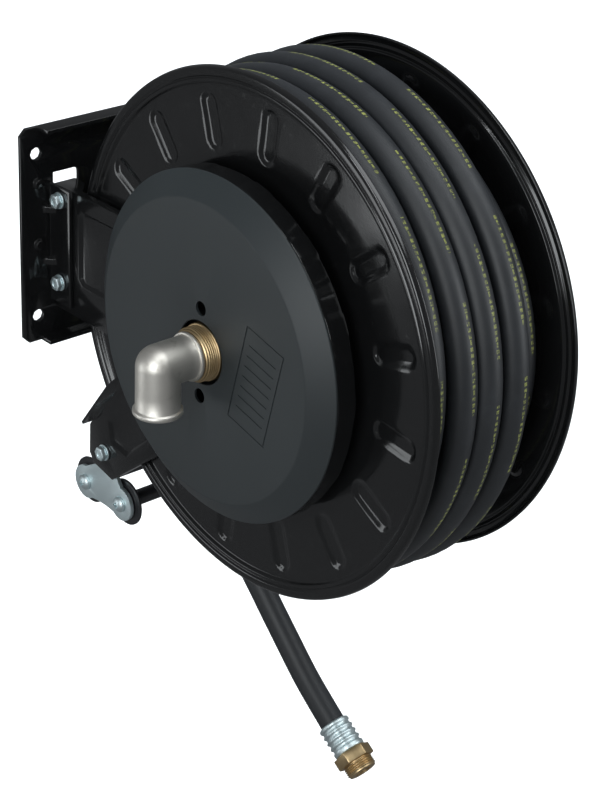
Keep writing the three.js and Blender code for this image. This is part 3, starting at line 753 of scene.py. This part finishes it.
# ---- inlet: threaded swivel and the banded elbow that turns down ----
elbow = {
    "start": 148.8, "centre": 184, "drop": 45, "radius": 20.4, "band": 22.9, "upperBand": 4, "lowerBand": 5,
    "bore": 15.2, "socket": 17.1, "socketDepth": 12, "sides": 96, "turnRings": 16,
}


# A ring of the elbow is level, turning or dropping. It turns as a ball outside and has a crease inside.
def onElbow(kind, place, radius, spoke):
    out, across = radius * math.cos(spoke), radius * math.sin(spoke)
    if kind == "level":
        return fromAxis(-place, across, out)
    if kind == "drop":
        return fromAxis(-elbow["centre"] - out, across, -place)
    if out < 0:
        return fromAxis(-elbow["centre"] - out, across, out)
    return fromAxis(-elbow["centre"] - out * math.sin(place), across, out * math.cos(place))


def turnRings(radius):
    count = elbow["turnRings"]
    return [("turn", math.pi / 2 * i / count, radius) for i in range(count + 1)]


def elbowRings():
    start, drop, band, wall = (elbow[k] for k in ("start", "drop", "band", "radius"))
    bore, socket, socketEnd = elbow["bore"], elbow["socket"], start + elbow["socketDepth"]
    upper, lower = start + elbow["upperBand"], drop - elbow["lowerBand"]
    rings = [("level", start, band - 1.4), ("level", start + 0.2, band - 0.5), ("level", start + 0.9, band),
             ("level", upper - 0.9, band), ("level", upper - 0.2, band - 0.5), ("level", upper, wall + 0.6),
             ("level", upper + 1, wall), ("level", start + 13, wall), *turnRings(wall), ("drop", 24, wall),
             ("drop", lower - 0.8, wall + 0.1), ("drop", lower, wall + 0.7),
             ("drop", lower + 0.5, band - 0.8), ("drop", lower + 1.2, band - 0.2),
             ("drop", drop - 2.2, band), ("drop", drop - 0.7, band), ("drop", drop - 0.1, band - 0.5),
             ("drop", drop, band - 1.4)]
    rings += [("drop", drop, bore + 0.8), ("drop", drop - 0.8, bore), ("drop", 18, bore),
              *reversed(turnRings(bore)), ("level", start + 16, bore), ("level", socketEnd, bore),
              ("level", socketEnd, socket), ("level", start + 0.5, socket), ("level", start, socket + 0.5)]
    return rings + rings[:1]


def addElbow():
    bm = bmesh.new()
    spoke = bm.verts.layers.float.new("spoke")
    ring = bmesh.ops.create_circle(bm, segments=elbow["sides"], radius=1.0)["verts"]
    for vert in ring:
        vert[spoke] = math.atan2(vert.co.y, vert.co.x)
    for i, (kind, place, radius) in enumerate(elbowRings()):
        if i > 0:
            ring = grownRing(bm, ring)
        for vert in ring:
            vert.co = onElbow(kind, place, radius, vert[spoke])
    bmesh.ops.remove_doubles(bm, verts=bm.verts, dist=2e-6)
    bmesh.ops.recalc_face_normals(bm, faces=bm.faces)
    return pieceFrom(bm, "inletElbow", ["inlet_elbow"], 40)


swivel = {
    "seat": 118.4, "bore": 19.6, "flange": 27, "flangeEnd": 136.2, "thread": 25.4, "threadStart": 137.2,
    "pitch": 2.3, "collar": 148.5, "spigot": 16.8, "spigotEnd": 159.5, "spigotBore": 12, "shoulder": 138.6,
    "steps": 96,
}


def addSwivel():
    bore, flangeRadius, seat = swivel["bore"], swivel["flange"], swivel["seat"]
    flangeEnd, radius, pitch = swivel["flangeEnd"], swivel["thread"], swivel["pitch"]
    collar, spigot, spigotEnd = swivel["collar"], swivel["spigot"], swivel["spigotEnd"]
    profile = [(bore, seat), (flangeRadius, seat), (flangeRadius, flangeEnd - 0.6),
               (flangeRadius - 0.6, flangeEnd), (radius - 0.2, flangeEnd + 0.2)]
    for i in range(int((collar - 138) / pitch)):
        left = swivel["threadStart"] + i * pitch
        profile += [(radius - 1.1, left + 0.2), (radius, left + 0.45 * pitch),
                    (radius, left + 0.65 * pitch), (radius - 1.1, left + 0.98 * pitch)]
    profile += [(radius - 1.4, collar - 0.9), (radius - 2.4, collar), (spigot, collar), (spigot, spigotEnd),
                (swivel["spigotBore"], spigotEnd), (swivel["spigotBore"], swivel["shoulder"]),
                (bore, swivel["shoulder"])]
    bm = spun([(r, -x) for r, x in profile], swivel["steps"])
    return pieceFrom(moved(bm, drumAxis), "swivelBody", ["swivel_body"], 30)


addElbow()
addSwivel()
print("inlet made")


# ---- guide rollers, their plates and screws ----
roller = {"reach": 84.4, "barrel": 8, "disc": 24.5, "discSheet": 4, "bore": 4.3, "steps": 72}


def addRoller(place):
    end, disc, inner = roller["reach"] + roller["discSheet"], roller["disc"], roller["reach"]
    half = [(roller["bore"], end, 0.3), (disc - 6, end, 0.5), (disc - 5, end - 0.8, 0.5),
            (disc, end - 0.8, 1.0), (disc, inner + 0.4, 1.0), (disc - 7, inner, 0.6),
            (roller["barrel"] + 3, inner - 0.2, 0.8), (roller["barrel"], inner - 3, 1.4)]
    corners = half + [(r, -x, size) for r, x, size in reversed(half)]
    bm = spun(rounded(corners, 0.5, 3), roller["steps"])
    bm = moved(bm, jointSpot["roller_" + place + "_spin"])
    return pieceFrom(bm, "guideRoller" + place.capitalize(), ["roller_" + place], 35)


screw = {"radius": 8.2, "rise": 4.6, "shank": 3, "crossWidth": 1.7, "crossLength": 7.5, "crossDepth": 1.8}


def addScrew(node):
    low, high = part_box(node)
    side = 1 if high.x > 0 else -1
    outer = max(abs(low.x), abs(high.x)) / millimetre
    foot = min(abs(low.x), abs(high.x)) / millimetre
    seat = outer - 5.6
    profile = [(0, foot), (screw["shank"], foot), (screw["shank"], seat), (screw["radius"], seat),
               (screw["radius"], seat + 1.0)]
    for i in range(1, 9):
        angle = i / 8 * math.pi / 2
        profile.append((screw["radius"] * math.cos(angle), seat + 1.0 + screw["rise"] * math.sin(angle)))
    bm = spun([(max(r, 0), side * x) for r, x in profile], 48, closed=False)
    length, width, depth = (screw[k] * millimetre for k in ("crossLength", "crossWidth", "crossDepth"))
    top = side * outer * millimetre
    cuts = [block((2 * depth, length, width), (top, 0, 0)), block((2 * depth, width, length), (top, 0, 0))]
    name = plainName(node.replace("roller_screw", "screw"))
    return pieceFrom(moved(carved(bm, cuts), middleOf(low, high)), name, [node], 30)


for place in ("rear", "front"):
    addRoller(place)
    for side in ("far", "near"):
        addScrew("roller_screw_" + place + "_" + side)
for side in ("far", "near"):
    softened("roller_plate_" + side, 1.3, segments=4)
print("rollers made")


# ---- hexagon bolts, washers and nuts ----
bolt = {"acrossCorners": 7.5, "headHeight": 5.3, "shank": 3.9, "dish": 4.6, "dishDepth": 0.8}


def addBolt(node):
    low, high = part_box(node)
    side = 1 if high.x > 0 else -1
    outer, foot = max(abs(low.x), abs(high.x)), min(abs(low.x), abs(high.x))
    head = hexNut(bolt["acrossCorners"] * millimetre, outer - bolt["headHeight"] * millimetre, outer, 0.0006)
    dish = spun([(0, outer / millimetre + 1), (bolt["dish"], outer / millimetre + 1),
                 (bolt["dish"] - 0.8, outer / millimetre - bolt["dishDepth"]),
                 (0, outer / millimetre - bolt["dishDepth"])], 32, closed=False)
    shape = carved(head, [dish])
    shankEnd = outer - (bolt["headHeight"] - 1) * millimetre
    bm = addTo(shape, rod(bolt["shank"] * millimetre, (foot, 0, 0), (shankEnd, 0, 0)))
    if side < 0:
        bmesh.ops.rotate(bm, matrix=Matrix.Rotation(math.pi, 3, "Z"), verts=bm.verts)
    return pieceFrom(moved(bm, middleOf(low, high)), plainName(node), [node], 30)


def addWasher(node):
    low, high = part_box(node)
    inner, outer = low.x / millimetre, high.x / millimetre
    bm = spun(rounded([(4.2, inner, 0.2), (8.4, inner, 0.4), (8.4, outer, 0.4), (4.2, outer, 0.2)], 0.3), 48)
    return pieceFrom(moved(bm, middleOf(low, high)), plainName(node), [node], 40)


for bolted in ("arm_upper", "arm_lower", "guide"):
    for side in ("far", "near"):
        addBolt(bolted + "_bolt_" + side)
        addWasher(bolted + "_washer_" + side)
        softened(bolted + "_nut_" + side, 0.5)
print("bolts made")


# ---- pressed steel: wall plate, side arms, guide arms ----
softened("wall_plate", 0.7)
for side in ("far", "near"):
    softened("side_arm_" + side, 0.9)
    softened("guide_arm_" + side, 0.7)
print("pressed steel softened")


# ---- floor ----
def addFloor():
    bm = bmesh.new()
    bmesh.ops.create_grid(bm, x_segments=2, y_segments=2, size=14)
    mesh = bpy.data.meshes.new("floor")
    bm.to_mesh(mesh)
    bm.free()
    mesh.materials.append(paleFloor())
    floor = bpy.data.objects.new("floor", mesh)
    bpy.context.scene.collection.objects.link(floor)
    floor.location = (0, 0, -studio["floorDepth"])
    floor.visible_glossy = False                                   # the paint mirrors the room, not the floor


addFloor()
